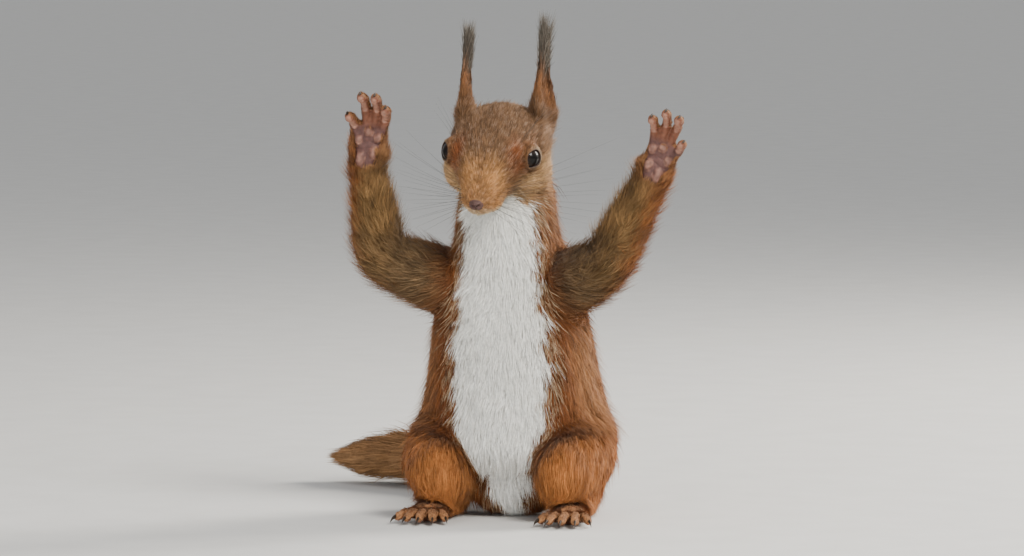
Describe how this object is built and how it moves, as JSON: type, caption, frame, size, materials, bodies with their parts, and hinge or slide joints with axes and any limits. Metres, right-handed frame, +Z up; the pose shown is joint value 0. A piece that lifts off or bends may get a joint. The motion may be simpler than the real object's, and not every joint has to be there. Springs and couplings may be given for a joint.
{
  "type": "red squirrel model",
  "caption": "Life-size red squirrel standing upright on its hind feet with both arms raised, ears tufted and bushy tail laid behind.",
  "frame": {"origin": "on the floor, at the middle of the model's width and depth", "axes": "+Z up, -Y the way the animal faces, +X to its left"},
  "size_m": [0.1818, 0.1808, 0.2047],
  "materials": {
    "coat": "rust red and cream white fur",
    "head": "short grizzled red brown fur",
    "tail": "long dark red brown fur",
    "paw": "bare grey pink skin with short fur on the back",
    "eye": "wet black brown"
  },
  "bodies": {
    "root": {"head": "head", "ear_left": "head", "ear_right": "head", "eye_left": "eye", "eye_right": "eye", "neck": "coat", "trunk": "coat", "upper_arm_left": "coat", "upper_arm_right": "coat", "forearm_left": "coat", "forearm_right": "coat", "hand_left": "paw", "hand_right": "paw", "hind_leg_left": "coat", "hind_leg_right": "coat", "hind_foot_left": "paw", "hind_foot_right": "paw", "tail_1": "tail", "tail_2": "tail", "tail_3": "tail", "tail_4": "tail"}
  },
  "joints": []
}
